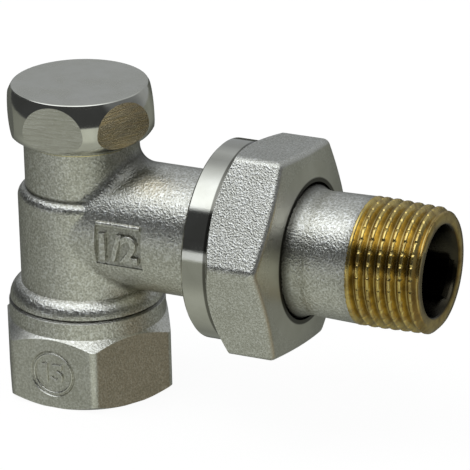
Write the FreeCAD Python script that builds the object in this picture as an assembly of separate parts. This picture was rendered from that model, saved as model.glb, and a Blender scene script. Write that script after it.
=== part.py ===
import FreeCAD, Part
import math
import os

from FreeCAD import Vector

# Angle radiator valve with a lockshield cap and a union, in millimetres.
# Origin: centre of the pipe socket's mouth. Z runs up the spindle, X along the branch.

# Foot with the female half-inch pipe thread, drawn plain at its inner radius
socket_radius = 9.32
foot_wall = 3.98
foot_edge_round = 1.5
foot_edge_land = 0.12
foot_chamfer_slope = 0.62
hex_chamfer_slope = 0.7
collar_inset = 0.26
collar_height = 3.3
crease_depth = 0.42
crease_height = 0.32
shoulder_height = 3.0
shoulder_gap = 0.25

# Body and neck
branch_height = 29.2
chamber_radius = 6.9
body_wall = 3.95
mid_rise = 4.0
upper_shoulder_height = 1.87
branch_step = 0.27
branch_fillet = 2.0
neck_blend = 3.2
bonnet_ledge = 0.6
neck_wall = 2.05
neck_land = 1.37

# Seat in the body
bore_step = 0.3
floor_drop = 3.4
seat_web = 5.7
port_radius = 4.75
seat_lip_width = 0.9
seat_lip_height = 0.8

# Sunk fields on the body: a flat panel on the branch and a round one on the foot
panel_start = 7.2
panel_length = 8.4
panel_depth = 0.85
panel_height = 7.1
field_radius = 3.85
field_depth = 0.22
field_height = 6.0

# Branch end with the three-quarter-inch male union thread, drawn plain
branch_length = 36.0
union_thread_radius = 13.22
union_thread_length = 9.0
nose_bore_radius = 9.6
nose_bore_depth = 5.0

# Headwork
bonnet_thread_length = 6.2
bonnet_skirt = 2.45
flange_inset = 0.05
flange_thickness = 1.85
flange_shoulder = 1.0
spindle_thread_run = 7.8
bonnet_ring_section = 1.3

# Spindle, 1 mm pitch
stem_radius = 4.0
spindle_thread_radius = 5.0
lift = 3.0
key_across_flats = 5.0
key_depth = 4.5
stem_ring_section = 1.3
stem_ring_spacing = 1.8
button_radius = 3.0
button_height = 2.0
button_neck_radius = 1.9

# Disc holder and seat washer
disc_gap = 0.5
holder_rim = 0.45
washer_thickness = 2.0
washer_proud = 0.6
web_thickness = 2.0
cup_wall = 1.4
snap_ring_thickness = 0.8
snap_ring_bite = 0.55
cup_lip = 0.8
screw_radius = 1.5
screw_head_radius = 3.0
screw_head_height = 1.2
screw_slot = 0.8

# Cap, 1.5 mm pitch
brass_show = 0.38
rim_wall = 0.43
gasket_thickness = 0.9
gasket_width = 2.5
cap_crown = 2.44
cap_belly = 2.5
cap_belly_drop = 5.3
cap_top_inset = 1.48
cap_flat_depth = 1.15
cap_under = 0.87
cap_turn = 4.2

# Union nut
nut_overhang = 1.5
skirt_length = 4.6
nut_wall = 3.18
skirt_inset = 0.05
nut_face_wall = 2.4
nut_face_slope = 0.2
nut_crown = 0.6
nut_edge_round = 1.6
nut_lip_round = 1.2
nut_inner_bevel = 1.5
nut_turn = 22.7

# Union tail with the taper half-inch male thread, drawn plain
nose_wall = 2.08
nose_length = 4.6
tail_ring_section = 1.4
tail_collar_inset = 0.5
tail_collar_length = 2.4
shank_radius = 10.2
shank_flare = 0.7
shank_length = 13.2
thread_radius = 10.48
thread_length = 11.1
thread_chamfer = 1.0
lug_height = 1.2
lug_width = 6.0
lug_length = 9.0
lug_inset = 1.2
lug_turn = -33.0

# Clearances
thread_gap = 0.1
static_gap = 0.05
stem_gap = 0.08
swivel_gap = 0.15
slip_gap = 0.25
end_gap = 0.3
ring_gap = 0.04

# Radii that follow
hex_in = socket_radius + foot_wall
hex_corner = hex_in / math.cos(math.radians(30))
collar_radius = hex_in - collar_inset
shoulder_radius = collar_radius - crease_depth / 2
mid_radius = chamber_radius + body_wall
branch_radius = mid_radius - branch_step
branch_bore_radius = chamber_radius - bore_step
neck_bore_radius = chamber_radius + bonnet_ledge
neck_radius = neck_bore_radius + neck_wall
flange_radius = neck_radius - flange_inset
cap_thread_radius = flange_radius - flange_shoulder
cap_bore_radius = cap_thread_radius + thread_gap
mouth_radius = flange_radius + slip_gap
rim_radius = mouth_radius + rim_wall
belly_radius = rim_radius + cap_belly
holder_radius = chamber_radius - disc_gap
washer_radius = holder_radius - holder_rim - static_gap
cavity_radius = button_radius + swivel_gap
nut_bore_radius = union_thread_radius + thread_gap
nut_hex_in = nut_bore_radius + nut_wall
nut_hex_corner = nut_hex_in / math.cos(math.radians(30))
tail_root_radius = shank_radius + shank_flare
nut_hole_radius = tail_root_radius + slip_gap + swivel_gap
nose_radius = nose_bore_radius - stem_gap
tail_bore_radius = nose_radius - nose_wall

# Heights that follow
shoulder_top = branch_height - branch_radius - shoulder_gap
collar_top = shoulder_top - shoulder_height
hex_height = collar_top - collar_height
floor_z = branch_height - branch_bore_radius - floor_drop
seat_z = floor_z + seat_lip_height
socket_depth = floor_z - seat_web
mid_top = branch_height + mid_rise
neck_top = branch_height + branch_radius + branch_fillet + neck_land
ledge_z = neck_top - bonnet_thread_length
bonnet_bottom = ledge_z - bonnet_skirt
inner_thread_top = bonnet_bottom + spindle_thread_run
stem_ring_low = inner_thread_top + stem_ring_section
stem_ring_high = stem_ring_low + stem_ring_spacing
stem_top = stem_ring_high + stem_ring_section * 0.7
bonnet_top = stem_top + lift
flange_top = neck_top + flange_thickness
spindle_thread_top = inner_thread_top - lift - end_gap
washer_top = seat_z + washer_thickness
web_top = washer_top + web_thickness
button_bottom = web_top + swivel_gap
button_top = button_bottom + button_height
snap_ring_z = button_top + swivel_gap
cup_top = snap_ring_z + snap_ring_thickness + cup_lip
spindle_thread_bottom = cup_top + end_gap
cap_bottom = neck_top + brass_show
ceiling_z = bonnet_top + gasket_thickness
cap_top = ceiling_z + cap_crown

# Stations along the branch that follow
union_thread_start = branch_length - union_thread_length
nut_start = union_thread_start - nut_overhang
nut_hex_start = nut_start + skirt_length
tail_shoulder = branch_length + tail_collar_length
nut_shoulder = tail_shoulder + static_gap
nut_face = nut_shoulder + nut_face_wall
thread_start = tail_shoulder + shank_length
thread_end = thread_start + thread_length
tail_end = thread_end + thread_chamfer

Z_AXIS = Vector(0, 0, 1)
X_AXIS = Vector(1, 0, 0)
BRANCH = Vector(0, 0, branch_height)


def outline(points):
    """Closed face in the XZ plane. A point of four numbers is an arc through its first two."""
    edges = []
    last = Vector(points[-1][-2], 0, points[-1][-1])
    for point in points:
        here = Vector(point[-2], 0, point[-1])
        if len(point) == 4:
            edges.append(Part.Arc(last, Vector(point[0], 0, point[1]), here).toShape())
        else:
            edges.append(Part.LineSegment(last, here).toShape())
        last = here
    return Part.Face(Part.Wire(edges))


def turned(points):
    """Solid turned about the spindle's axis from (radius, height) points."""
    return outline(points).revolve(Vector(0, 0, 0), Z_AXIS, 360)


def along_branch(shape):
    """Swing a solid made about Z so that it lies along the branch."""
    shape = shape.copy()
    shape.rotate(Vector(0, 0, 0), Vector(0, 1, 0), 90)
    shape.translate(BRANCH)
    return shape


def tube(outer, inner, bottom, top):
    return turned([(inner, bottom), (outer, bottom), (outer, top), (inner, top)])


def rod(radius, bottom, top):
    return Part.makeCylinder(radius, top - bottom, Vector(0, 0, bottom))


def o_ring(inner, outer, height):
    """Round rubber ring that fills the room between two radii, less a hair."""
    section = (outer - inner) / 2 - ring_gap
    return Part.makeTorus((outer + inner) / 2, section, Vector(0, 0, height), Z_AXIS)


def hex_prism(inradius, bottom, top, turn, edge_round):
    """Hexagonal bar about Z with its upright edges rounded."""
    corner = inradius / math.cos(math.radians(30))
    points = []
    for i in range(7):
        angle = math.radians(turn + 60 * i)
        points.append(Vector(corner * math.cos(angle), corner * math.sin(angle), bottom))
    bar = Part.Face(Part.makePolygon(points)).extrude(Vector(0, 0, top - bottom))
    if edge_round == 0:
        return bar
    upright = [edge for edge in bar.Edges if abs(edge.tangentAt(edge.FirstParameter).z) > 0.9]
    return bar.makeFillet(edge_round, upright)


def tee(post_radius, post_bottom, post_top, run_back, fillet):
    """Post and branch joined with a rolled fillet, kept on the branch's side only."""
    post = rod(post_radius, post_bottom, post_top)
    start = Vector(-run_back, 0, branch_height)
    run = Part.makeCylinder(branch_radius, run_back + union_thread_start, start, X_AXIS)
    joint = post.fuse(run)
    seam = [edge for edge in joint.Edges if isinstance(edge.Curve, Part.BSplineCurve)]
    joint = joint.makeFillet(fillet, seam)
    reach = 4 * branch_length
    side = Part.makeBox(reach, reach, reach, Vector(0, -reach / 2, -reach / 2))
    return joint.common(side)


def foot():
    """Hexagon with its corners taken off by a cone above and a chamfer below."""
    bar = hex_prism(hex_in, 0, collar_top, 0, foot_edge_round)
    drop = (hex_corner - collar_radius) * hex_chamfer_slope
    cone_top = hex_height + (hex_in - collar_radius) * hex_chamfer_slope
    edge = hex_in + foot_edge_land
    rise = (hex_corner - edge) * foot_chamfer_slope
    limit = turned([(0, 0), (edge, 0), (hex_corner, rise), (hex_corner, cone_top - drop),
                    (collar_radius, cone_top), (0, cone_top)])
    return bar.common(limit)


def body_column():
    """Collar, rounded shoulders and neck, turned about the spindle's axis."""
    low = hex_height - 1
    bulge_r = mid_radius + (shoulder_radius - mid_radius) * 0.72
    bulge_z = collar_top + shoulder_height * 0.66
    cheek_r = neck_radius + (mid_radius - neck_radius) * 0.68
    cheek_z = mid_top + upper_shoulder_height * 0.70
    return turned([
        (0, low), (collar_radius, low), (collar_radius, collar_top - crease_height),
        (collar_radius - crease_depth, collar_top), (shoulder_radius, collar_top + crease_height),
        (bulge_r, bulge_z, mid_radius, shoulder_top), (mid_radius, mid_top),
        (cheek_r, cheek_z, neck_radius, mid_top + upper_shoulder_height), (neck_radius, neck_top),
        (0, neck_top)])


def branch_outside():
    """Fillets of the branch into body and neck, and the collar that carries the union thread."""
    far = branch_height + 3 * branch_radius
    low = tee(mid_radius, shoulder_top - branch_fillet - shoulder_height, far, 0, branch_fillet)
    reach = 4 * branch_length
    below = Part.makeBox(2 * reach, 2 * reach, reach, Vector(-reach, -reach, mid_top - reach))
    low = low.common(below)
    high = tee(neck_radius, branch_height, neck_top, 2 * branch_radius, neck_blend)
    ramp = (union_thread_radius - branch_radius) * 0.5
    lead = 1.0
    thread = turned([
        (0, union_thread_start - ramp), (branch_radius, union_thread_start - ramp),
        (union_thread_radius, union_thread_start), (union_thread_radius, branch_length - lead),
        (union_thread_radius - lead, branch_length), (0, branch_length)])
    return low.fuse([high, along_branch(thread)])


def body_inside():
    """Socket, port, seat, chamber, neck and branch bores."""
    drill_end = socket_depth + 1.5
    socket = turned([(0, -1), (socket_radius, -1), (socket_radius, socket_depth), (port_radius, drill_end),
                     (0, drill_end)])
    port = rod(port_radius, socket_depth, seat_z + 1)
    chamber = rod(chamber_radius, seat_z, ledge_z + 1)
    moat = tube(chamber_radius, port_radius + seat_lip_width, floor_z, seat_z + 1)
    neck = rod(neck_bore_radius, ledge_z, neck_top + 1)
    ring_room = rod(neck_bore_radius + bonnet_ring_section, neck_top - bonnet_ring_section, neck_top + 1)
    bore = along_branch(rod(branch_bore_radius, 0, branch_length))
    nose = along_branch(rod(nose_bore_radius, branch_length - nose_bore_depth, branch_length + 1))
    return socket.fuse([port, chamber, moat, neck, ring_room, bore, nose])


def body_fields():
    """Cutters for the flat panel on the branch and the round field on the foot."""
    deep = branch_radius
    face = branch_radius - panel_depth
    corner = Vector(panel_start, -face - deep, branch_height - panel_height / 2)
    panel = Part.makeBox(panel_length, deep, panel_height, corner)
    field = turned([(0, 0), (field_radius, 0), (field_radius + field_depth, field_depth),
                    (field_radius + field_depth, 2 * field_depth), (0, 2 * field_depth)])
    field.rotate(Vector(0, 0, 0), X_AXIS, 90)
    field.translate(Vector(0, field_depth - hex_in, field_height))
    return panel, field


def valve_body():
    panel, field = body_fields()
    outside = body_column().fuse([foot(), branch_outside().cut(panel)])
    return outside.cut([body_inside(), field]).removeSplitter()


def headwork_bonnet():
    """Threaded insert with a flange, the cap's thread above and two ring grooves inside."""
    inner = spindle_thread_radius + thread_gap
    gland = stem_radius + stem_gap
    screw = neck_bore_radius - static_gap
    skirt = chamber_radius - slip_gap
    step_z = ledge_z + end_gap
    lead = 0.8
    shell = turned([
        (inner, bonnet_bottom), (skirt, bonnet_bottom), (skirt, step_z), (screw - lead / 2, step_z),
        (screw, step_z + lead), (screw, neck_top), (flange_radius, neck_top), (flange_radius, flange_top),
        (cap_thread_radius, flange_top), (cap_thread_radius, bonnet_top - lead),
        (cap_thread_radius - lead, bonnet_top), (gland, bonnet_top), (gland, inner_thread_top),
        (inner, inner_thread_top)])
    depth = gland + stem_ring_section
    half = stem_ring_section / 2 + static_gap
    grooves = [tube(depth, gland - 0.5, z - half, z + half) for z in (stem_ring_low, stem_ring_high)]
    wide = 3 * cap_thread_radius
    slot = Part.makeBox(wide, 2.0, 1.6, Vector(-wide / 2, -1.0, bonnet_top - 1.6))
    return shell.cut(grooves + [slot])


def bonnet_o_ring():
    inner = neck_bore_radius - static_gap
    return o_ring(inner, inner + bonnet_ring_section, neck_top - bonnet_ring_section / 2)


def stem_o_ring(height):
    gland = stem_radius + stem_gap
    return o_ring(stem_radius, gland + stem_ring_section, height)


def regulating_spindle():
    """Button, neck, threaded barrel and plain stem with a hexagon socket."""
    lead = 0.7
    barrel = spindle_thread_radius
    low = spindle_thread_bottom
    high = spindle_thread_top
    shape = turned([
        (0, button_bottom), (button_radius, button_bottom), (button_radius, button_top),
        (button_neck_radius, button_top), (button_neck_radius, low), (barrel - lead, low),
        (barrel, low + lead), (barrel, high - lead), (barrel - lead, high), (stem_radius, high),
        (stem_radius, stem_top - 0.4), (stem_radius - 0.4, stem_top), (0, stem_top)])
    return shape.cut(hex_prism(key_across_flats / 2, stem_top - key_depth, stem_top + 1, 0, 0))


def disc_holder():
    """Cup for the seat washer below and for the spindle's button above."""
    rim_z = seat_z + washer_proud
    recess = washer_radius + static_gap
    cup = cavity_radius + cup_wall
    groove = cavity_radius + snap_ring_bite + static_gap
    shape = turned([
        (screw_radius + static_gap, washer_top), (recess, washer_top), (recess, rim_z),
        (holder_radius, rim_z), (holder_radius, web_top - 0.5), (holder_radius - 0.5, web_top),
        (cup, web_top), (cup, cup_top), (cavity_radius, cup_top), (cavity_radius, web_top),
        (screw_radius + static_gap, web_top)])
    low = snap_ring_z - static_gap
    high = snap_ring_z + snap_ring_thickness + static_gap
    return shape.cut(tube(groove, cavity_radius - 0.5, low, high))


def disc_snap_ring():
    """Split ring that sits in the cup's groove above the button."""
    ring = tube(cavity_radius + snap_ring_bite, button_neck_radius + swivel_gap, snap_ring_z,
                snap_ring_z + snap_ring_thickness)
    gap = 1.6
    return ring.cut(Part.makeBox(2 * cavity_radius, gap, 3 * snap_ring_thickness,
                                 Vector(0, -gap / 2, snap_ring_z - snap_ring_thickness)))


def seat_washer():
    return tube(washer_radius, screw_radius + static_gap, seat_z, washer_top)


def washer_screw():
    """Slotted pan-head screw, put in from below."""
    head = seat_z - screw_head_height
    soft = 0.4
    shape = turned([
        (0, head), (screw_head_radius - soft, head), (screw_head_radius, head + soft),
        (screw_head_radius, seat_z), (screw_radius, seat_z), (screw_radius, web_top - end_gap),
        (0, web_top - end_gap)])
    slot = Part.makeBox(3 * screw_head_radius, screw_slot, screw_head_height,
                        Vector(-1.5 * screw_head_radius, -screw_slot / 2, head - screw_head_height / 2))
    return shape.cut(slot)


def belly_bulge(height, inset):
    """Inset at half height of an arc that starts upright and ends at this height and inset."""
    radius = (height ** 2 + inset ** 2) / (2 * inset)
    return radius - math.sqrt(radius ** 2 - height ** 2 / 4)


def cap_barrel():
    """Outside that bulges to a belly, with a flat top and a sloping underside."""
    top_radius = belly_radius - cap_top_inset
    low_r = belly_radius - cap_flat_depth
    low_z = cap_bottom + cap_under
    belly_z = cap_top - cap_belly_drop
    lower = belly_bulge(belly_z - low_z, cap_flat_depth)
    upper = belly_bulge(cap_belly_drop, cap_top_inset)
    return turned([
        (0, cap_bottom), (rim_radius, cap_bottom), (low_r, low_z),
        (belly_radius - lower, (low_z + belly_z) / 2, belly_radius, belly_z),
        (belly_radius - upper, (belly_z + cap_top) / 2, top_radius, cap_top), (0, cap_top)])


def lockshield_cap():
    """Barrel with six milled flats, a threaded bore and a mouth that covers the flange."""
    barrel = cap_barrel()
    flat = belly_radius - cap_flat_depth
    barrel = barrel.common(hex_prism(flat, cap_bottom - 1, cap_top + 1, cap_turn, 0))
    mouth_top = flange_top + slip_gap
    inside = turned([
        (0, cap_bottom - 1), (mouth_radius, cap_bottom - 1), (mouth_radius, mouth_top),
        (cap_bore_radius, mouth_top), (cap_bore_radius, ceiling_z), (0, ceiling_z)])
    return barrel.cut(inside)


def cap_gasket():
    outer = cap_bore_radius - static_gap
    return tube(outer, outer - gasket_width, bonnet_top, ceiling_z)


def union_nut():
    """Turned skirt and forged hexagon with a slightly coned outer face that rolls over into the flats."""
    crown = nut_hole_radius + nut_crown
    drop = nut_face_slope * (nut_hex_corner - crown)
    bar = hex_prism(nut_hex_in, nut_hex_start, nut_face, nut_turn, nut_edge_round)
    limit = turned([
        (0, nut_hex_start), (nut_hex_in, nut_hex_start),
        (nut_hex_corner, nut_hex_start + nut_inner_bevel), (nut_hex_corner, nut_face - drop),
        (crown, nut_face), (0, nut_face)])
    bar = bar.common(limit)
    middle = (nut_hex_start + nut_face) / 2
    rim = [edge for edge in bar.Edges if middle < edge.BoundBox.ZMin and edge.BoundBox.ZMax < nut_face - 0.1]
    bar = bar.makeFillet(nut_lip_round, rim)
    skirt = nut_hex_in - skirt_inset
    soft = 0.35
    overlap = 0.5
    round_part = turned([
        (0, nut_start), (skirt - soft, nut_start), (skirt, nut_start + soft),
        (skirt, nut_hex_start + overlap), (0, nut_hex_start + overlap)])
    lead = 0.8
    inside = turned([
        (0, nut_start - 1), (nut_bore_radius + lead + 1, nut_start - 1),
        (nut_bore_radius, nut_start + lead), (nut_bore_radius, nut_shoulder),
        (nut_hole_radius, nut_shoulder), (nut_hole_radius, nut_face + 1), (0, nut_face + 1)])
    return along_branch(round_part.fuse(bar).cut(inside))


def tail_shape():
    """Nose with a ring groove, collar, flared shank and thread, turned about Z."""
    nose_start = branch_length - nose_length
    groove = nose_bore_radius - tail_ring_section
    mid = branch_length - nose_length / 2
    half = tail_ring_section / 2 + static_gap
    collar = union_thread_radius - tail_collar_inset
    flare_end = nut_face + 0.6
    shank_start = flare_end + 2.8
    return turned([
        (tail_bore_radius, nose_start), (nose_radius - 0.6, nose_start), (nose_radius, nose_start + 0.6),
        (nose_radius, mid - half), (groove, mid - half), (groove, mid + half), (nose_radius, mid + half),
        (nose_radius, branch_length), (collar - 0.4, branch_length), (collar, branch_length + 0.4),
        (collar, tail_shoulder), (tail_root_radius, tail_shoulder), (tail_root_radius, flare_end - 0.6),
        (shank_radius + 0.22 * shank_flare, flare_end + 0.5, shank_radius, shank_start),
        (thread_radius - 0.1, thread_start - 0.2), (thread_radius, thread_start),
        (thread_radius, thread_end), (thread_radius - thread_chamfer, tail_end),
        (tail_bore_radius + 0.4, tail_end), (tail_bore_radius, tail_end - 0.4)])


def tail_lugs():
    """Two lugs in the bore that a tail key turns."""
    stop = tail_end - lug_inset
    ring = tube(tail_bore_radius + 0.5, tail_bore_radius - lug_height, stop - lug_length, stop)
    wide = 4 * tail_bore_radius
    slab = Part.makeBox(wide, lug_width, wide, Vector(-wide / 2, -lug_width / 2, stop - wide / 2))
    slab.rotate(Vector(0, 0, 0), Z_AXIS, 90 + lug_turn)
    return ring.common(slab)


def union_tail():
    return along_branch(tail_shape().fuse(tail_lugs()))


def union_o_ring():
    groove = nose_bore_radius - tail_ring_section
    return along_branch(o_ring(groove, nose_bore_radius, branch_length - nose_length / 2))


pieces = {
    "valve_body": valve_body(),
    "headwork_bonnet": headwork_bonnet(),
    "bonnet_o_ring": bonnet_o_ring(),
    "stem_o_ring_lower": stem_o_ring(stem_ring_low),
    "stem_o_ring_upper": stem_o_ring(stem_ring_high),
    "regulating_spindle": regulating_spindle(),
    "disc_holder": disc_holder(),
    "disc_snap_ring": disc_snap_ring(),
    "seat_washer": seat_washer(),
    "washer_screw": washer_screw(),
    "lockshield_cap": lockshield_cap(),
    "cap_gasket": cap_gasket(),
    "union_nut": union_nut(),
    "union_tail": union_tail(),
    "union_o_ring": union_o_ring(),
}

os.makedirs("parts", exist_ok=True)
for name, shape in pieces.items():
    shape.exportStep("parts/" + name + ".step")
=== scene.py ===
import math
from functools import reduce

import bmesh
import bpy
import numpy as np
from mathutils import Matrix, Vector
from mathutils.kdtree import KDTree


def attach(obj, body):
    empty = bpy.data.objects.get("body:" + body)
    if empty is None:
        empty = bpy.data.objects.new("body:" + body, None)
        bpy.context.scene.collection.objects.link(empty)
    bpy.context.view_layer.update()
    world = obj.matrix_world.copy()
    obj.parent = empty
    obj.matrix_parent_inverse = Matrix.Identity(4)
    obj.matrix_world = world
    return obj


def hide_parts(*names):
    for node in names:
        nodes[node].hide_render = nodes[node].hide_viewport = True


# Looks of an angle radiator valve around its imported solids.
# Lengths are in millimetres, apart from the studio's, which are in metres. Angles are in degrees.

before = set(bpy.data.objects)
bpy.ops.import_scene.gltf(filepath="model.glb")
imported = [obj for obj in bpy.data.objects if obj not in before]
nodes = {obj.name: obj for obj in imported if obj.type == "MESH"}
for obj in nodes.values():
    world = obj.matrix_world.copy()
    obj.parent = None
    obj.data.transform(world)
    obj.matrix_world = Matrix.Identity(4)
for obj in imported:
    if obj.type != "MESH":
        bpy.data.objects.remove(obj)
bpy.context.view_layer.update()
MM = 0.001
TURN = 2 * math.pi

# Places on the solids that materials and threads follow. Body:
AXIS_Z = 29.2
FOOT_TOP = 12.2
FIELD_Z = 6.0
SOCKET_TOP, SOCKET_WALL = 14.0, 10.7
COLLAR_CREASE = (15.0, 15.6)
NECK_CREASE, NECK_EDGE = (34.9, 35.5), 9.9
PANEL_X, PANEL_Y, PANEL_Z = (7.0, 15.8), (-9.84, -9.5), (25.5, 32.9)
UNION_START = 26.9
# Headwork and cap:
FLANGE_START = 9.0
CAP_TURN = 4.2
CAP_TOP, CAP_TOP_RADIUS = 52.65, 11.2
# Nut:
SKIRT_END = 30.05
SEAM_START = 29.5
NUT_BORE, NUT_HOLE = 14.6, 12.0
NUT_CONE_START, NUT_CONE_RADIUS = 37.5, 15.2
# Tail, with a thread whose radius shrinks by one in TAPER from TAPER_START on:
TAIL_COLLAR_END, SHANK_START, FLARE_END = 39.5, 41.7, 43.4
TAIL_RADIUS, TAPER_START, TAPER = 10.48, 54.6, 32.0
TAIL_THREAD_START, TAIL_END = 51.6, 63.7
TAIL_BORE, TAIL_BORE_START = 7.6, 33.0

# Camera of the photograph: focal length in pixels of a 470 pixel picture, and the pixel and depth of the
# point where the branch's axis meets the neck's
AZIMUTH, ELEVATION, ROLL = 25.773, 22.128, -1.378
FOCAL, PICTURE = 4159.8, 470.0
DEPTH = 686.88
CROSSING_U, CROSSING_V = 84.454, 215.33
SENSOR = 36.0


def add_object(name, data):
    obj = bpy.data.objects.new(name, data)
    bpy.context.scene.collection.objects.link(obj)
    return obj


def new_mesh(name, points, faces):
    mesh = bpy.data.meshes.new(name)
    mesh.from_pydata(points.tolist(), [], faces)
    mesh.update()
    return mesh


def ring_quads(low, high, count):
    """Faces between two rings of points, whose first points have these indices."""
    return [(low + j, low + (j + 1) % count, high + (j + 1) % count, high + j) for j in range(count)]


# Node graphs for the materials

# Half width of a mask's edge that isn't soft
SHARP = 1e-5


class Graph:
    """A material with one Principled shader, and short calls to add the nodes that feed it."""

    def __init__(self, name):
        self.mat = bpy.data.materials.new(name)
        self.mat.use_nodes = True
        self.tree = self.mat.node_tree
        self.shader = self.tree.nodes["Principled BSDF"]
        coords = self.add("TexCoord")
        self.place = coords.outputs["Object"]
        self.x, self.y, self.z = (self.math("DIVIDE", part, MM) for part in self.split(self.place))
        self.nx, self.ny, self.nz = self.split(coords.outputs["Normal"])

    def add(self, kind):
        return self.tree.nodes.new("ShaderNode" + kind)

    def link(self, source, target):
        self.tree.links.new(source, target)

    def feed(self, socket, value):
        if isinstance(value, bpy.types.NodeSocket):
            self.link(value, socket)
        else:
            socket.default_value = value

    def split(self, vector):
        n = self.add("SeparateXYZ")
        self.link(vector, n.inputs[0])
        return n.outputs

    def math(self, kind, a, b=0.0):
        n = self.add("Math")
        n.operation = kind
        self.feed(n.inputs[0], a)
        self.feed(n.inputs[1], b)
        return n.outputs[0]

    def times(self, *values):
        return reduce(lambda a, b: self.math("MULTIPLY", a, b), values)

    def most(self, *values):
        return reduce(lambda a, b: self.math("MAXIMUM", a, b), values)

    def but(self, mask):
        """One where the mask is zero, and zero where it is one."""
        return self.math("SUBTRACT", 1.0, mask)

    def spread(self, value, low, high, to_low, to_high):
        """Maps low to to_low and high to to_high, and holds these ends beyond them."""
        n = self.add("MapRange")
        n.clamp = True
        self.feed(n.inputs["Value"], value)
        for key, number in (("From Min", low), ("From Max", high), ("To Min", to_low), ("To Max", to_high)):
            n.inputs[key].default_value = number
        return n.outputs["Result"]

    def above(self, value, edge, soft=0.0):
        """One where value is over the edge and zero under it, with a change over soft on either side."""
        return self.spread(value, edge - soft - SHARP, edge + soft + SHARP, 0.0, 1.0)

    def below(self, value, edge, soft=0.0):
        """One where value is under the edge and zero over it, with a change over soft on either side."""
        return self.spread(value, edge - soft - SHARP, edge + soft + SHARP, 1.0, 0.0)

    def band(self, value, low, high, soft=0.0):
        """One where value lies between low and high, and zero outside, with soft edges."""
        return self.times(self.above(value, low, soft), self.below(value, high, soft))

    def distance(self, a, b):
        return self.math("SQRT", self.math("ADD", self.times(a, a), self.times(b, b)))

    def neck_radius(self):
        return self.distance(self.x, self.y)

    def branch_radius(self):
        return self.distance(self.y, self.math("SUBTRACT", self.z, AXIS_Z))

    def noise(self, grain, detail=2.0, rough=0.6, stretch=None):
        n = self.add("TexNoise")
        n.inputs["Scale"].default_value = 1.0 / (grain * MM)
        n.inputs["Detail"].default_value = detail
        n.inputs["Roughness"].default_value = rough
        place = self.place
        if stretch:
            scaled = self.add("Mapping")
            scaled.inputs["Scale"].default_value = stretch
            self.link(place, scaled.inputs["Vector"])
            place = scaled.outputs[0]
        self.link(place, n.inputs["Vector"])
        return n.outputs["Fac"]

    def cells(self, grain):
        n = self.add("TexVoronoi")
        n.inputs["Scale"].default_value = 1.0 / (grain * MM)
        self.link(self.place, n.inputs["Vector"])
        return n.outputs["Distance"]

    def wave(self, value, pitch):
        """Fine lathe lines: a sine of the given length."""
        return self.math("SINE", self.times(value, TURN / pitch))

    def mix(self, factor, a, b, kind="FLOAT"):
        n = self.add("Mix")
        n.data_type = kind
        for key, value in (("Factor", factor), ("A", a), ("B", b)):
            self.feed(n.inputs[key], (*value, 1.0) if isinstance(value, tuple) else value)
        return n.outputs["Result"]

    def tint(self, factor, a, b):
        """Colour a that turns to colour b by factor."""
        return self.mix(factor, a, b, "RGBA")

    def bump(self, height, depth, strength, under=None):
        n = self.add("Bump")
        self.feed(n.inputs["Height"], height)
        n.inputs["Distance"].default_value = depth * MM
        self.feed(n.inputs["Strength"], strength)
        if under is not None:
            self.link(under, n.inputs["Normal"])
        return n.outputs[0]

    def surface(self, colour, rough, normal, metallic=1.0):
        self.shader.inputs["Metallic"].default_value = metallic
        for key, value in (("Base Color", colour), ("Roughness", rough), ("Normal", normal)):
            self.link(value, self.shader.inputs[key])
        return self.mat


NICKEL = (0.72, 0.705, 0.635)
NICKEL_DULL = (0.635, 0.62, 0.545)
NICKEL_WORN = (0.44, 0.42, 0.36)
# Warm colour of a painted reflection on the cap's flat that faces +X
NICKEL_PAINTED_REFLECTION = (0.80, 0.64, 0.37)
NICKEL_DARK = (0.35, 0.345, 0.32)
PIT = (0.34, 0.335, 0.295)
TIP = (0.95, 0.945, 0.91)
FLARE_SHADE = (0.22, 0.215, 0.18)
CORNER_SHADE = (0.16, 0.155, 0.125)
FILLET_SHADE = (0.09, 0.087, 0.07)
# Painted shade: the colour that creases, recesses, the nut's hole and the shank's root are darkened towards
PAINTED_SHADE = (0.07, 0.066, 0.052)
BRASS = (0.77, 0.585, 0.20)
# Colour of a painted highlight on the bonnet's flange
BRASS_PAINTED_HIGHLIGHT = (0.98, 0.88, 0.50)
BRASS_PALE = (0.86, 0.74, 0.40)
BRASS_DARK = (0.27, 0.175, 0.07)
BRASS_ROOT = (0.10, 0.065, 0.03)
# Colour of painted shade inside the tail's bore
BORE_PAINTED_SHADE = (0.02, 0.02, 0.018)
STEEL, STEEL_DARK = (0.62, 0.61, 0.60), (0.50, 0.50, 0.52)
RUBBER, RUBBER_DUST = (0.018, 0.018, 0.019), (0.05, 0.048, 0.045)
BLASTED_ROUGH = (0.278, 0.30)
TURNED_ROUGH = 0.22


def plated(g):
    """Nickel colour that drifts a little over the surface, and the noise it drifts with."""
    drift = g.noise(5.0, detail=3.0)
    return g.tint(g.spread(drift, 0.35, 0.65, 0.0, 1.0), NICKEL, NICKEL_DULL), drift


def blasted(g, colour, skin, grain=0.30, depth=0.085):
    """Shot-blasted skin where skin is one: colour with dull pits and bright tips, and the bumped normal."""
    height = g.math("ADD", g.noise(grain), g.times(g.cells(1.4 * grain), 0.4))
    dull = g.times(g.spread(height, 0.50, 0.72, 0.55, 0.0), skin)
    tips = g.times(g.spread(height, 0.72, 0.88, 0.0, 0.8), skin)
    colour = g.tint(tips, g.tint(dull, colour, PIT), TIP)
    return colour, g.bump(height, depth, skin)


def uneven(g, drift, low, high):
    """Roughness that drifts between low and high."""
    return g.spread(drift, 0.3, 0.7, low, high)


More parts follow.
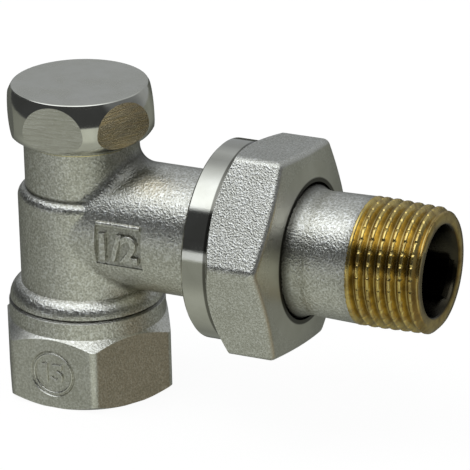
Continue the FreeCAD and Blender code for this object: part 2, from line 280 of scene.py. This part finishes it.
def forged_body():
    """Blasted skin, less so on the foot's flats, with cut threads, and painted shade in the creases, on the
    sunk panel's floor and round the neck's join with the branch.
    """
    g = Graph("forged_nickel_body")
    colour, drift = plated(g)
    neck, branch = g.neck_radius(), g.branch_radius()
    socket = g.times(g.below(g.z, SOCKET_TOP), g.below(neck, SOCKET_WALL))
    mouth = g.times(g.below(g.z, 0.02), g.above(g.math("ABSOLUTE", g.nz), 0.999))
    turned = g.most(socket, g.above(g.x, UNION_START), mouth)
    flats = g.below(g.z, FOOT_TOP, 0.2)
    rub = g.most(g.times(flats, 0.4), g.times(turned, 0.95))
    colour, skin = blasted(g, colour, g.but(rub))
    # Painted shade in the crease over the collar and in the crease under the neck's edge
    collar_crease = g.times(g.band(g.z, *COLLAR_CREASE, 0.12), g.below(neck, 13.0, 0.06))
    neck_crease = g.times(g.band(g.z, *NECK_CREASE, 0.2), g.below(neck, NECK_EDGE, 0.15))
    colour = g.tint(g.times(g.most(collar_crease, neck_crease), 0.75), colour, PAINTED_SHADE)
    # Painted shade round the neck's join with the branch: a darker corner on the branch's top, and a darker
    # fillet under the cap
    corner = g.times(g.above(g.x, 6.0, 3.5), g.above(g.z, 34.0, 2.0), g.above(branch, 11.3, 0.7))
    colour = g.tint(g.times(corner, 0.5), colour, CORNER_SHADE)
    fillet = g.times(g.above(neck, NECK_EDGE, 0.25), g.below(neck, 13.0, 2.0),
                     g.above(g.z, 36.4, 1.6), g.above(g.x, 3.5, 2.0))
    colour = g.tint(g.times(fillet, 0.85), colour, FILLET_SHADE)
    # Painted shade on the sunk panel's floor, between the raised signs
    panel = g.times(g.band(g.y, *PANEL_Y, 0.04), g.band(g.x, *PANEL_X), g.band(g.z, *PANEL_Z))
    colour = g.tint(g.times(panel, 0.3), colour, PAINTED_SHADE)
    rough = g.mix(turned, uneven(g, drift, *BLASTED_ROUGH), TURNED_ROUGH)
    return g.surface(colour, rough, skin)


def forged_nut():
    """Polished round skirt with a painted shadow line next to the hexagon, blasted hexagon, and turned ends
    and bore, with painted shade in the hole.
    """
    g = Graph("forged_nickel_nut")
    colour, drift = plated(g)
    branch = g.branch_radius()
    skirt = g.below(g.x, SKIRT_END)
    faced = g.above(g.math("ABSOLUTE", g.nx), 0.6, 0.2)
    turned = g.most(skirt, g.times(faced, 0.6), g.below(branch, NUT_BORE))
    colour, skin = blasted(g, colour, g.but(turned), grain=0.24, depth=0.075)
    colour = g.tint(g.times(skirt, 0.2), colour, NICKEL_DARK)
    lines = g.bump(g.noise(0.16, stretch=(0.25, 1, 1)), 0.005, g.times(turned, 0.5), skin)
    satin = g.mix(skirt, 0.3, g.spread(g.noise(0.8, 3.0, 0.7), 0.4, 0.7, 0.05, 0.12))
    rough = g.mix(turned, uneven(g, drift, *BLASTED_ROUGH), satin)
    # Painted shade inside the nut's hole
    colour = g.tint(g.below(branch, NUT_HOLE, 0.12), colour, PAINTED_SHADE)
    # Painted shadow line on the skirt along the hexagon
    seam_shadow = g.times(g.above(g.x, SEAM_START, 0.08), skirt)
    colour = g.tint(g.times(seam_shadow, 0.8), colour, PAINTED_SHADE)
    return g.surface(colour, rough, lines)


def forged_tail():
    """Turned collar, and a blasted shank with painted shade where it leaves the nut."""
    g = Graph("forged_nickel_tail")
    colour, drift = plated(g)
    turned = g.below(g.x, TAIL_COLLAR_END)
    colour, skin = blasted(g, colour, g.but(turned))
    lines = g.bump(g.wave(g.x, 0.22), 0.004, g.times(turned, 0.6), skin)
    # Painted shade on the shank near the nut, darkest where it leaves the nut's mouth
    colour = g.tint(g.times(g.below(g.x, FLARE_END, 1.5), 0.5), colour, FLARE_SHADE)
    colour = g.tint(g.times(g.below(g.x, SHANK_START, 0.6), 0.9), colour, PAINTED_SHADE)
    rough = g.mix(turned, uneven(g, drift, 0.278, 0.29), TURNED_ROUGH)
    return g.surface(colour, rough, lines)


def turned_cap():
    """Lathe rings on the top, a polished barrel, and brush lines along the six milled flats, with a painted
    warm reflection on the flat that faces +X.
    """
    g = Graph("turned_nickel_cap")
    colour, drift = plated(g)
    neck = g.neck_radius()
    top = g.above(g.nz, 0.97, 0.02)
    side = g.math("SUBTRACT", g.math("ARCTAN2", g.ny, g.nx), math.radians(30 + CAP_TURN))
    lobes = g.math("COSINE", g.times(side, 6.0))
    flat = g.times(g.above(lobes, 0.9985, 0.001), g.below(g.math("ABSOLUTE", g.nz), 0.03, 0.01))
    rings = g.math("ADD", g.wave(neck, 0.62), g.times(g.wave(neck, 0.23), 0.6))
    lathe = g.bump(rings, 0.0022, g.times(top, 0.8))
    strokes = g.noise(0.34, 3.0, 0.65, stretch=(0.09, 0.09, 1.0))
    brushed = g.bump(strokes, 0.06, g.times(flat, 0.8), lathe)
    worn = g.times(flat, g.spread(strokes, 0.45, 0.6, 0.0, 0.35))
    colour = g.tint(worn, colour, NICKEL_WORN)
    # Painted warm reflection on the flat that faces +X, broken up by the brush strokes
    painted_reflection = g.times(flat, g.above(g.nx, 0.8, 0.05), g.spread(strokes, 0.35, 0.65, 0.95, 0.4))
    colour = g.tint(painted_reflection, colour, NICKEL_PAINTED_REFLECTION)
    rough = g.mix(top, g.mix(flat, 0.1, 0.26), uneven(g, drift, 0.2, 0.3))
    return g.surface(colour, rough, brushed)


def bare_brass(name, tail=False):
    """Turned brass with tarnish: with a painted highlight on the flange, or on the tail with dark roots and
    painted shade in the bore.
    """
    g = Graph(name)
    drift = g.noise(1.6, 4.0, 0.65)
    spots = g.noise(0.4, 2.0, 0.5)
    colour = g.tint(g.spread(drift, 0.45, 0.7, 0.0, 0.8), BRASS, BRASS_DARK)
    colour = g.tint(g.spread(spots, 0.6, 0.7, 0.0, 0.35), colour, BRASS_PALE)
    if tail:
        branch = g.branch_radius()
        taper = g.math("DIVIDE", g.most(g.math("SUBTRACT", g.x, TAPER_START), 0.0), TAPER)
        sunk = g.math("SUBTRACT", g.math("SUBTRACT", TAIL_RADIUS, taper), branch)
        roots = g.times(g.spread(sunk, 0.35, 1.0, 0.0, 0.6), g.below(g.x, TAIL_END - 0.9, 0.3))
        colour = g.tint(roots, colour, BRASS_ROOT)
        colour = g.tint(g.above(g.x, TAIL_END - 1.0, 0.3), colour, g.tint(0.4, colour, BRASS_DARK))
        # Painted shade inside the tail's bore
        bore = g.below(branch, TAIL_BORE + 0.15, 0.15)
        colour = g.tint(g.times(bore, 0.96), colour, BORE_PAINTED_SHADE)
    else:
        # Painted highlight on the flange under the cap
        flange_highlight = g.above(g.neck_radius(), FLANGE_START, 0.05)
        colour = g.tint(g.times(flange_highlight, 0.85), colour, BRASS_PAINTED_HIGHLIGHT)
    lines = g.bump(g.wave(g.x if tail else g.z, 0.14), 0.0025, 0.6)
    skin = g.bump(g.noise(0.22), 0.014, 0.8, lines)
    return g.surface(colour, uneven(g, drift, 0.14, 0.28), skin)


def bright_steel():
    g = Graph("bright_steel")
    drift = g.noise(1.2, detail=3.0)
    skin = g.bump(g.noise(0.12), 0.004, 0.6)
    return g.surface(g.tint(drift, STEEL_DARK, STEEL), uneven(g, drift, 0.18, 0.34), skin)


def seal_rubber():
    g = Graph("seal_rubber")
    dust = g.noise(0.5, 4.0, 0.7)
    colour = g.tint(g.spread(dust, 0.4, 0.75, 0.0, 1.0), RUBBER, RUBBER_DUST)
    skin = g.bump(g.noise(0.1), 0.006, 0.7)
    return g.surface(colour, uneven(g, dust, 0.5, 0.75), skin, metallic=0.0)


MATERIALS = {
    "body": forged_body(),
    "nut": forged_nut(),
    "tail": forged_tail(),
    "cap": turned_cap(),
    "brass": bare_brass("bare_brass"),
    "brass_thread": bare_brass("bare_brass_thread", tail=True),
    "steel": bright_steel(),
    "rubber": seal_rubber(),
}


def paint(obj, *keys):
    obj.data.materials.clear()
    for key in keys:
        obj.data.materials.append(MATERIALS[key])


# Screw threads are cut into copies of the solids, which then stand for their nodes

# Points this near to each other are welded, and those of a piece and its node are taken as the same
WELD, SAME_POINT = 2e-4, 4e-4
# Cosines between a piece's face and its node's: the same face, one round a soft edge, and a level face
SAME_FACE, SOFT_FACE, LEVEL_FACE = 0.9, 0.42, 0.9999


def unit(value):
    return np.clip(value, 0.0, 1.0)


def spaced(start, end, step):
    return np.linspace(start, end, max(2, int(round((end - start) / step)) + 1))


def thread_wave(phase, crest, root):
    """Depth share of a thread with flats of these shares at crest and root: 0 on the crest, 1 in the root."""
    away = np.abs(((phase + 0.5) % 1.0) - 0.5) * 2.0
    flank = unit((away - crest) / (1.0 - crest - root))
    return flank * flank * (3.0 - 2.0 * flank) * 0.4 + flank * 0.6


def screw_grid(stations, count, radius_at):
    """Points of a surface of radius radius_at(s, angle) round the local Z axis."""
    angle = np.arange(count) * TURN / count
    s, a = np.meshgrid(stations, angle, indexing="ij")
    r = radius_at(s, a)
    return np.stack([r * np.cos(a), r * np.sin(a), s], axis=-1).reshape(-1, 3)


def cutter(name, stations, count, thread_radius, other_radius):
    """Closed solid between the thread surface and a plain cylinder (a rod where other_radius is zero)."""
    last = (len(stations) - 1) * count
    points = screw_grid(stations, count, thread_radius)
    faces = [face for low in range(0, last, count) for face in ring_quads(low, low + count, count)]
    if other_radius:
        ends = np.array([stations[0], stations[-1]])
        inner = len(points)
        outer = inner + count
        points = np.vstack([points, screw_grid(ends, count, lambda s, a: np.full_like(s, other_radius))])
        walls = (ring_quads(inner, outer, count), ring_quads(0, inner, count), ring_quads(outer, last, count))
        faces = [tuple(reversed(face)) for face in faces]
        faces += [face for trio in zip(*walls) for face in trio]
    else:
        faces.append(tuple(range(count - 1, -1, -1)))
        faces.append(tuple(range(last, last + count)))
    return add_object(name, new_mesh(name, points * MM, faces))


def lay_along_branch(obj):
    """Local Z becomes X, and the origin moves to the branch axis at x = 0."""
    turn = Matrix(((0, 0, 1, 0), (1, 0, 0, 0), (0, 1, 0, 0), (0, 0, 0, 1)))
    obj.data.transform(Matrix.Translation((0, 0, AXIS_Z * MM)) @ turn)
    return obj


def copy_node(name, node):
    """Own copy of a node's mesh, welded, as a new piece."""
    mesh = nodes[node].data.copy()
    mesh.name = name
    bm = bmesh.new()
    bm.from_mesh(mesh)
    bmesh.ops.remove_doubles(bm, verts=bm.verts, dist=WELD * MM)
    bm.to_mesh(mesh)
    bm.free()
    return add_object(name, mesh)


def evaluated_mesh(obj):
    bpy.context.view_layer.update()
    graph = bpy.context.evaluated_depsgraph_get()
    return bpy.data.meshes.new_from_object(obj.evaluated_get(graph))


def shade(mesh, sharp):
    """Smooth shading, but for edges of more than sharp degrees."""
    mesh.shade_smooth()
    mesh.set_sharp_from_angle(angle=math.radians(sharp))


def cut(piece, *tools, sharp=32.0):
    """Takes the tools out of the piece, applies the result and removes the tools."""
    for tool in tools:
        mod = piece.modifiers.new("cut", "BOOLEAN")
        mod.operation = "DIFFERENCE"
        mod.solver = "EXACT"
        mod.object = tool
    mesh = evaluated_mesh(piece)
    piece.modifiers.clear()
    old = piece.data
    piece.data = mesh
    bpy.data.meshes.remove(old)
    for tool in tools:
        gone = tool.data
        bpy.data.objects.remove(tool)
        bpy.data.meshes.remove(gone)
    if "custom_normal" in mesh.attributes:
        mesh.attributes.remove(mesh.attributes["custom_normal"])
    shade(mesh, sharp)


def keep_normals(piece, node, soft=None):
    """Gives the piece its node's own normals where they share points.

    Where soft(x, y, z) is true, edges of less than 65 degrees there are shaded as rounded ones.
    """
    source, mesh = nodes[node].data, piece.data
    corners = [[] for _ in source.vertices]
    for face in source.polygons:
        for loop in face.loop_indices:
            corner = (face.normal.copy(), Vector(source.corner_normals[loop].vector), face.area)
            corners[source.loops[loop].vertex_index].append(corner)
    tree = KDTree(len(source.vertices))
    for vertex in source.vertices:
        tree.insert(vertex.co, vertex.index)
    tree.balance()
    known = [[c for _, i, _ in tree.find_range(v.co, SAME_POINT * MM) for c in corners[i]]
             for v in mesh.vertices]
    normals = []
    for face in mesh.polygons:
        for loop in face.loop_indices:
            vertex = mesh.vertices[mesh.loops[loop].vertex_index]
            near = [c for c in known[vertex.index] if c[0].dot(face.normal) > SAME_FACE]
            if near and soft and soft(*(vertex.co / MM)):
                wide = [c for c in known[vertex.index] if c[1].dot(face.normal) > SOFT_FACE]
                normals.append(sum((c[1] * c[2] for c in wide), Vector()).normalized())
            elif near:
                normals.append(max(near, key=lambda c: c[0].dot(face.normal))[1])
            elif abs(face.normal.z) > LEVEL_FACE:
                normals.append(face.normal.copy())
            else:
                normals.append(Vector())
    mesh.normals_split_custom_set(normals)


def stand_for(piece, node, body):
    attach(piece, body)
    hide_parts(node)


# Taper thread of the tail: bare brass, half-inch, with pressed notches over its crests

PIPE_PITCH = 1.814
PIPE_DEPTH = 1.0
NOTCHES, NOTCH_START, NOTCH_DEPTH, NOTCH_LEAN = 32, 52.2, 0.16, 0.05
TIP_RADIUS = 9.48
TAIL_STEP, TAIL_SIDES = 0.095, 384
TAIL_TOOL_CLEAR, TAIL_TOOL_OUTSIDE = 10.6, 12.5


def tail_thread_radius(s, a):
    """Radius of the thread, and clear of the solid before it starts."""
    crest = TAIL_RADIUS - np.maximum(s - TAPER_START, 0.0) / TAPER - 0.04 * np.maximum(53.0 - s, 0.0)
    depth = PIPE_DEPTH * unit((s - TAIL_THREAD_START - 0.05) / 0.9)
    wave = thread_wave(s / PIPE_PITCH - a / TURN, 0.15, 0.10)
    notch = np.abs(((a * NOTCHES / TURN + s * NOTCH_LEAN) % 1.0) - 0.5) * 2.0
    notch = unit((notch - 0.80) / 0.12) * unit((0.45 - wave) / 0.45) * unit((s - NOTCH_START) / 0.8)
    chamfer = TIP_RADIUS + TAIL_END - s
    radius = np.minimum(crest - depth * wave - NOTCH_DEPTH * notch, chamfer)
    return np.where(s < TAIL_THREAD_START, TAIL_TOOL_CLEAR, radius)


def make_tail():
    tail = copy_node("union_tail_threaded", "union_tail")
    stations = np.append(TAIL_THREAD_START - 0.12, spaced(TAIL_THREAD_START, TAIL_END + 0.3, TAIL_STEP))
    tool = cutter("tail_tool", stations, TAIL_SIDES, tail_thread_radius, TAIL_TOOL_OUTSIDE)
    cut(tail, lay_along_branch(tool), sharp=50.0)
    paint(tail, "tail", "brass_thread")
    for face in tail.data.polygons:
        x, y, z = face.center / MM
        in_bore = math.hypot(y, z - AXIS_Z) < TAIL_BORE and x > TAIL_BORE_START
        face.material_index = int(x > TAIL_THREAD_START - 0.06 or in_bore)
    stand_for(tail, "union_tail", "tail")


# Plain parallel threads of the other pieces: outside ones are cut inwards and inside ones outwards

CAP_PITCH = 1.5
OVERCUT = 0.08
THREAD_FLATS = (0.14, 0.12)
THREAD_STEP, THREAD_SIDES = 0.1, 180


def outside_thread(name, radius, depth, pitch, start, end, run_out):
    """Tool for a thread on a rod from start to end, fading out over run_out at its start."""
    def surface(s, a):
        share = unit((s - start) / run_out) * thread_wave(s / pitch - a / TURN, *THREAD_FLATS)
        return radius + OVERCUT - (depth + OVERCUT) * share
    return cutter(name, spaced(start, end, THREAD_STEP), THREAD_SIDES, surface, radius + 3.0)


def inside_thread(name, radius, depth, pitch, start, end, run_out):
    """Tool for a thread in a bore from start to end, fading out over run_out at its end."""
    def surface(s, a):
        share = unit((end - s) / run_out) * thread_wave(s / pitch - a / TURN, *THREAD_FLATS)
        return radius - OVERCUT + (depth + OVERCUT) * share
    return cutter(name, spaced(start, end, THREAD_STEP), THREAD_SIDES, surface, 0.0)


def make_body():
    body = copy_node("valve_body_threaded", "valve_body")
    union = outside_thread("union_tool", radius=13.22, depth=PIPE_DEPTH, pitch=PIPE_PITCH,
                           start=27.2, end=36.6, run_out=1.6)
    socket = inside_thread("socket_tool", radius=9.32, depth=1.14, pitch=PIPE_PITCH,
                           start=-0.8, end=12.4, run_out=2.0)
    cut(body, lay_along_branch(union), socket)
    keep_normals(body, "valve_body")
    paint(body, "body")
    stand_for(body, "valve_body", "valve")


def make_nut():
    nut = copy_node("union_nut_threaded", "union_nut")
    tool = inside_thread("nut_tool", radius=13.32, depth=PIPE_DEPTH, pitch=PIPE_PITCH,
                         start=24.6, end=37.2, run_out=1.6)
    cut(nut, lay_along_branch(tool))

    def on_cone(x, y, z):
        return x > NUT_CONE_START and math.hypot(y, z - AXIS_Z) > NUT_CONE_RADIUS

    keep_normals(nut, "union_nut", on_cone)
    paint(nut, "nut")
    stand_for(nut, "union_nut", "nut")


def make_headwork():
    bonnet = copy_node("headwork_bonnet_threaded", "headwork_bonnet")
    tool = outside_thread("bonnet_tool", radius=8.5, depth=0.8, pitch=CAP_PITCH,
                          start=45.06, end=49.8, run_out=0.9)
    cut(bonnet, tool)
    keep_normals(bonnet, "headwork_bonnet")
    paint(bonnet, "brass")
    stand_for(bonnet, "headwork_bonnet", "valve")


# Rounding of the edge of the cap's top, and the barrel's slope from upright there
RIM_ROUND, RIM_SLOPE = 0.3, math.radians(30.3)
RIM_TOOL_OUTSIDE = 14.0


def rim_tool():
    """Tool that leaves the edge of the cap's top round."""
    low = CAP_TOP - RIM_ROUND
    centre = CAP_TOP_RADIUS + RIM_ROUND * (math.tan(RIM_SLOPE) - 1 / math.cos(RIM_SLOPE)) - 0.008
    arc = low + RIM_ROUND * np.sin(np.linspace(RIM_SLOPE, math.pi / 2, 8))

    def surface(s, a):
        r = centre + np.sqrt(np.maximum(RIM_ROUND ** 2 - (s - low) ** 2, 0.0))
        return np.where(s < arc[0] - 0.01, CAP_TOP_RADIUS + 0.25, r)

    stations = np.concatenate([[arc[0] - 0.06], arc, [CAP_TOP + 0.1]])
    return cutter("rim_tool", stations, THREAD_SIDES, surface, RIM_TOOL_OUTSIDE)


def make_cap():
    cap = copy_node("lockshield_cap_threaded", "lockshield_cap")
    thread = inside_thread("cap_tool", radius=8.6, depth=0.7, pitch=CAP_PITCH,
                           start=44.6, end=49.9, run_out=0.8)
    cut(cap, thread, rim_tool())
    keep_normals(cap, "lockshield_cap")
    paint(cap, "cap")
    stand_for(cap, "lockshield_cap", "cap")


# Plain signs and trim on the body

SIGN_SHARP = 40.0
SIGN_RING = 3.45


def curve_mesh(name, curve):
    holder = add_object(name, curve)
    mesh = evaluated_mesh(holder)
    bpy.data.objects.remove(holder)
    return mesh


def body_trim(name, mesh):
    """New piece of the body's metal that rides with the body."""
    shade(mesh, SIGN_SHARP)
    piece = add_object(name, mesh)
    paint(piece, "body")
    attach(piece, "valve")


def raised_sign(name, text, size, x, y, z, proud):
    """Plain raised sign that faces -Y, with its foot at y and its middle at x and z."""
    curve = bpy.data.curves.new(name, "FONT")
    curve.body = text
    curve.size = size
    curve.offset = 0.1
    curve.extrude = 0.2
    curve.bevel_depth = 0.16
    curve.bevel_resolution = 2
    curve.resolution_u = 5
    mesh = curve_mesh(name, curve)
    flat = np.array([v.co for v in mesh.vertices])
    flat = flat - (flat.max(axis=0) + flat.min(axis=0)) / 2
    high = flat[:, 2].max()
    for vertex, (u, v, w) in zip(mesh.vertices, flat):
        vertex.co = Vector((x + u, y - (w + high) / (2 * high) * proud, z + v)) * MM
    body_trim(name, mesh)


def round_bar(name, points, radius, closed=False):
    """Round bar along points, with flat ends where it isn't closed."""
    curve = bpy.data.curves.new(name, "CURVE")
    curve.dimensions = "3D"
    curve.bevel_depth = radius * MM
    curve.bevel_resolution = 3
    curve.use_fill_caps = not closed
    line = curve.splines.new("POLY")
    line.points.add(len(points) - 1)
    for point, place in zip(line.points, points):
        point.co = (*(Vector(place) * MM), 1.0)
    line.use_cyclic_u = closed
    body_trim(name, curve_mesh(name, curve))


def make_signs():
    """Thread size on the branch's sunk panel under a small ledge, and the bore size in a ring on the foot."""
    raised_sign("thread_size_sign", "1/2", size=6.2, x=11.4, y=-9.70, z=AXIS_Z - 0.3, proud=0.80)
    raised_sign("bore_size_sign", "15", size=4.4, x=0.0, y=-13.05, z=FIELD_Z, proud=0.34)
    turn = np.radians(np.arange(0, 360, 5.0))
    ring = [(SIGN_RING * math.cos(a), -13.12, FIELD_Z + SIGN_RING * math.sin(a)) for a in turn]
    round_bar("foot_sign_ring", ring, radius=0.24, closed=True)
    ledge = [(x, -9.98, AXIS_Z + 3.55) for x in (7.5, 9.0, 12.0, 15.3)]
    round_bar("panel_ledge", ledge, radius=0.46)


make_tail()
make_body()
make_nut()
make_headwork()
make_cap()
make_signs()

for node, key in (("regulating_spindle", "brass"), ("disc_holder", "brass"),
                  ("disc_snap_ring", "steel"), ("washer_screw", "steel"), ("seat_washer", "rubber"),
                  ("bonnet_o_ring", "rubber"), ("stem_o_ring_lower", "rubber"),
                  ("stem_o_ring_upper", "rubber"), ("cap_gasket", "rubber"), ("union_o_ring", "rubber")):
    paint(nodes[node], key)


# Studio: a floor, a tent that only reflections see, one lamp, the world and the camera

MIDDLE = (0.02, 0.0, 0.03)
FLOOR_REACH, FLOOR_GLOW, FLOOR_GLOW_SHARE = 3.0, 1.09, 0.86
TENT_RADIUS = 2.0
LAMP_PLACE, LAMP_SIZE, LAMP_WATTS = (-0.24, -0.14, 0.62), 0.34, 1.0


def background_ray(tree):
    """One for rays that see the plain background: from the camera, by gloss or through glass."""
    path = tree.nodes.new("ShaderNodeLightPath")
    seen = path.outputs["Is Camera Ray"]
    for key in ("Is Glossy Ray", "Is Transmission Ray"):
        either = tree.nodes.new("ShaderNodeMath")
        either.operation = "MAXIMUM"
        tree.links.new(seen, either.inputs[0])
        tree.links.new(path.outputs[key], either.inputs[1])
        seen = either.outputs[0]
    return seen


def mix_shader(tree, factor, first, second):
    n = tree.nodes.new("ShaderNodeMixShader")
    for source, socket in zip((factor, first, second), n.inputs):
        tree.links.new(source, socket)
    return n.outputs[0]


def floor_material():
    """Matt floor that the camera sees as nearly white, and doesn't see from below."""
    mat = bpy.data.materials.new("pale_floor")
    mat.use_nodes = True
    tree = mat.node_tree
    shader = tree.nodes["Principled BSDF"]
    shader.inputs["Base Color"].default_value = (0.74, 0.74, 0.72, 1.0)
    shader.inputs["Roughness"].default_value = 0.9
    white = tree.nodes.new("ShaderNodeEmission")
    white.inputs["Strength"].default_value = FLOOR_GLOW
    share = tree.nodes.new("ShaderNodeMath")
    share.operation = "MULTIPLY"
    share.inputs[1].default_value = FLOOR_GLOW_SHARE
    tree.links.new(background_ray(tree), share.inputs[0])
    pale = mix_shader(tree, share.outputs[0], shader.outputs[0], white.outputs[0])
    clear = tree.nodes.new("ShaderNodeBsdfTransparent")
    side = tree.nodes.new("ShaderNodeNewGeometry")
    both = mix_shader(tree, side.outputs["Backfacing"], pale, clear.outputs[0])
    tree.links.new(both, tree.nodes["Material Output"].inputs["Surface"])
    return mat


def make_floor():
    corners = np.array([(-1, -1, 0), (1, -1, 0), (1, 1, 0), (-1, 1, 0)]) * FLOOR_REACH
    floor = add_object("floor", new_mesh("floor", corners, [(0, 1, 2, 3)]))
    floor.data.materials.append(floor_material())
    floor.visible_glossy = False


# What the metal sees of the table, by degrees of turn from the camera's side
TABLE_TURN = (-180, -150, -110, -72, -43, -28, 18, 45, 69, 128, 150, 180)
TABLE_LEVEL = (0.07, 0.14, 0.24, 0.26, 0.36, 0.60, 0.62, 0.30, 0.15, 0.27, 0.12, 0.07)
TABLE_COLOUR = np.array((0.95, 1.0, 0.90))
# What it sees straight below, from the camera's side to the back
UNDER_Y = (-0.5, -0.25, 0.0, 0.37)
UNDER_LEVEL = (0.46, 0.44, 0.38, 0.25)
# What it sees above, by degrees from the front horizon over the top to the back one
SKY_ARC = (0, 8, 14, 42, 47, 54, 61, 82, 95, 112, 120, 135, 152, 180)
SKY_LEVEL = (0.30, 0.16, 0.05, 0.08, 0.18, 1.60, 1.75, 1.55, 1.08, 0.56, 0.45, 0.56, 0.38, 0.36)
SKY_COLOUR = np.array((0.95, 1.0, 1.05))
# A wall at the tail's side, a dark flag, the table's bright far edge and a brown part of the table
WALL_LEVEL, FLAG_LEVEL, EDGE_LEVEL = 0.17, 0.055, 0.9
FLAG_TURN, EDGE_TURN, BROWN_TURN = (-150, 48, 8), (-80, -36, 5), (56, 88, 8)
EDGE_Z = (-0.12, 0.04, 0.03)
BROWN = np.array((1.0, 0.86, 0.60))


def ease(value, start, end):
    t = unit((value - start) / (end - start))
    return t * t * (3.0 - 2.0 * t)


def within(value, low, high, soft):
    return ease(value, low - soft, low + soft) * (1.0 - ease(value, high - soft, high + soft))


def toward(first, second, share):
    return first + (second - first) * share


def tent_light(x, y, z):
    """Colour of the studio in each direction: table with a bright far edge, dark flag, softbox and walls."""
    turn = (np.degrees(np.arctan2(y, x)) + 90 - AZIMUTH + 180) % 360 - 180
    table = np.interp(turn, TABLE_TURN, TABLE_LEVEL)
    ground = toward(table, np.interp(y, UNDER_Y, UNDER_LEVEL), ease(-z, 0.45, 0.75))
    sky = np.interp(np.degrees(np.arctan2(z, -y)), SKY_ARC, SKY_LEVEL)
    sky = toward(sky, WALL_LEVEL, ease(x, 0.5, 0.85))
    flag = within(turn, *FLAG_TURN) * (1.0 - ease(z, 0.66, 0.74))
    sky = toward(sky, np.minimum(sky, FLAG_LEVEL), flag)
    edge = within(turn, *EDGE_TURN) * within(z, *EDGE_Z)
    up = ease(z, -0.02, 0.02)
    level = toward(toward(ground, sky, up), EDGE_LEVEL, edge)
    plain = toward(TABLE_COLOUR, SKY_COLOUR, np.maximum(up, edge)[..., None])
    brown = within(turn, *BROWN_TURN) * (1.0 - ease(z, -0.1, 0.1))
    return level[..., None] * toward(plain, BROWN, brown[..., None])


def tent_material(layer):
    mat = bpy.data.materials.new("tent")
    mat.use_nodes = True
    tree = mat.node_tree
    read = tree.nodes.new("ShaderNodeAttribute")
    read.attribute_name = layer
    glow = tree.nodes.new("ShaderNodeEmission")
    tree.links.new(read.outputs["Color"], glow.inputs["Color"])
    tree.links.new(glow.outputs[0], tree.nodes["Material Output"].inputs["Surface"])
    return mat


def make_tent():
    """Sphere round the object that only reflections see, coloured by direction."""
    el = np.radians(np.linspace(-89.5, 89.5, 180))
    az = np.radians(np.arange(0, 360, 2.0))
    e, a = np.meshgrid(el, az, indexing="ij")
    way = np.stack([np.cos(e) * np.cos(a), np.cos(e) * np.sin(a), np.sin(e)], axis=-1).reshape(-1, 3)
    around = len(az)
    faces = [face for low in range(0, len(way) - around, around)
             for face in ring_quads(low, low + around, around)]
    tent = add_object("tent", new_mesh("tent", way * TENT_RADIUS + MIDDLE, faces))
    colours = np.ones((len(way), 4))
    colours[:, :3] = tent_light(*way.T)
    layer = tent.data.color_attributes.new("light", "FLOAT_COLOR", "POINT")
    layer.data.foreach_set("color", colours.ravel())
    tent.data.materials.append(tent_material("light"))
    tent.visible_camera = False
    tent.visible_diffuse = False
    tent.visible_shadow = False
    tent.visible_transmission = False


def make_softbox():
    lamp = bpy.data.lights.new("softbox", "AREA")
    lamp.shape = "RECTANGLE"
    lamp.size = lamp.size_y = LAMP_SIZE
    lamp.energy = LAMP_WATTS
    obj = add_object("softbox", lamp)
    obj.location = LAMP_PLACE
    aim = Vector(MIDDLE) - Vector(LAMP_PLACE)
    obj.rotation_euler = aim.to_track_quat("-Z", "Y").to_euler()
    obj.visible_glossy = False


def make_world():
    """Pale sky that lights the object, and plain white behind it."""
    world = bpy.data.worlds.new("studio")
    bpy.context.scene.world = world
    world.use_nodes = True
    tree = world.node_tree
    ambient = tree.nodes["Background"]
    ambient.inputs["Color"].default_value = (0.95, 0.97, 1.0, 1.0)
    ambient.inputs["Strength"].default_value = 0.55
    white = tree.nodes.new("ShaderNodeBackground")
    white.inputs["Color"].default_value = (1, 1, 1, 1)
    white.inputs["Strength"].default_value = 1.0
    sky = mix_shader(tree, background_ray(tree), ambient.outputs[0], white.outputs[0])
    tree.links.new(sky, tree.nodes["World Output"].inputs["Surface"])


def make_camera():
    az, el, roll = (math.radians(v) for v in (AZIMUTH, ELEVATION, ROLL))
    back = Vector((math.sin(az) * math.cos(el), -math.cos(az) * math.cos(el), math.sin(el)))
    level = Vector((math.cos(az), math.sin(az), 0))
    upright = back.cross(level)
    right = level * math.cos(roll) + upright * math.sin(roll)
    up = upright * math.cos(roll) - level * math.sin(roll)
    ray = Vector(((CROSSING_U - PICTURE / 2) / FOCAL, (CROSSING_V - PICTURE / 2) / FOCAL, 1.0)) * DEPTH
    place = Vector((0, 0, AXIS_Z)) - (right * ray.x - up * ray.y - back * ray.z)
    lens = bpy.data.cameras.new("camera")
    lens.sensor_width = SENSOR
    lens.lens = SENSOR * FOCAL / PICTURE
    camera = add_object("camera", lens)
    camera.matrix_world = Matrix.Translation(place * MM) @ Matrix((right, up, back)).transposed().to_4x4()
    bpy.context.scene.camera = camera


make_floor()
make_tent()
make_softbox()
make_world()
make_camera()
bpy.context.scene.view_settings.view_transform = "Standard"
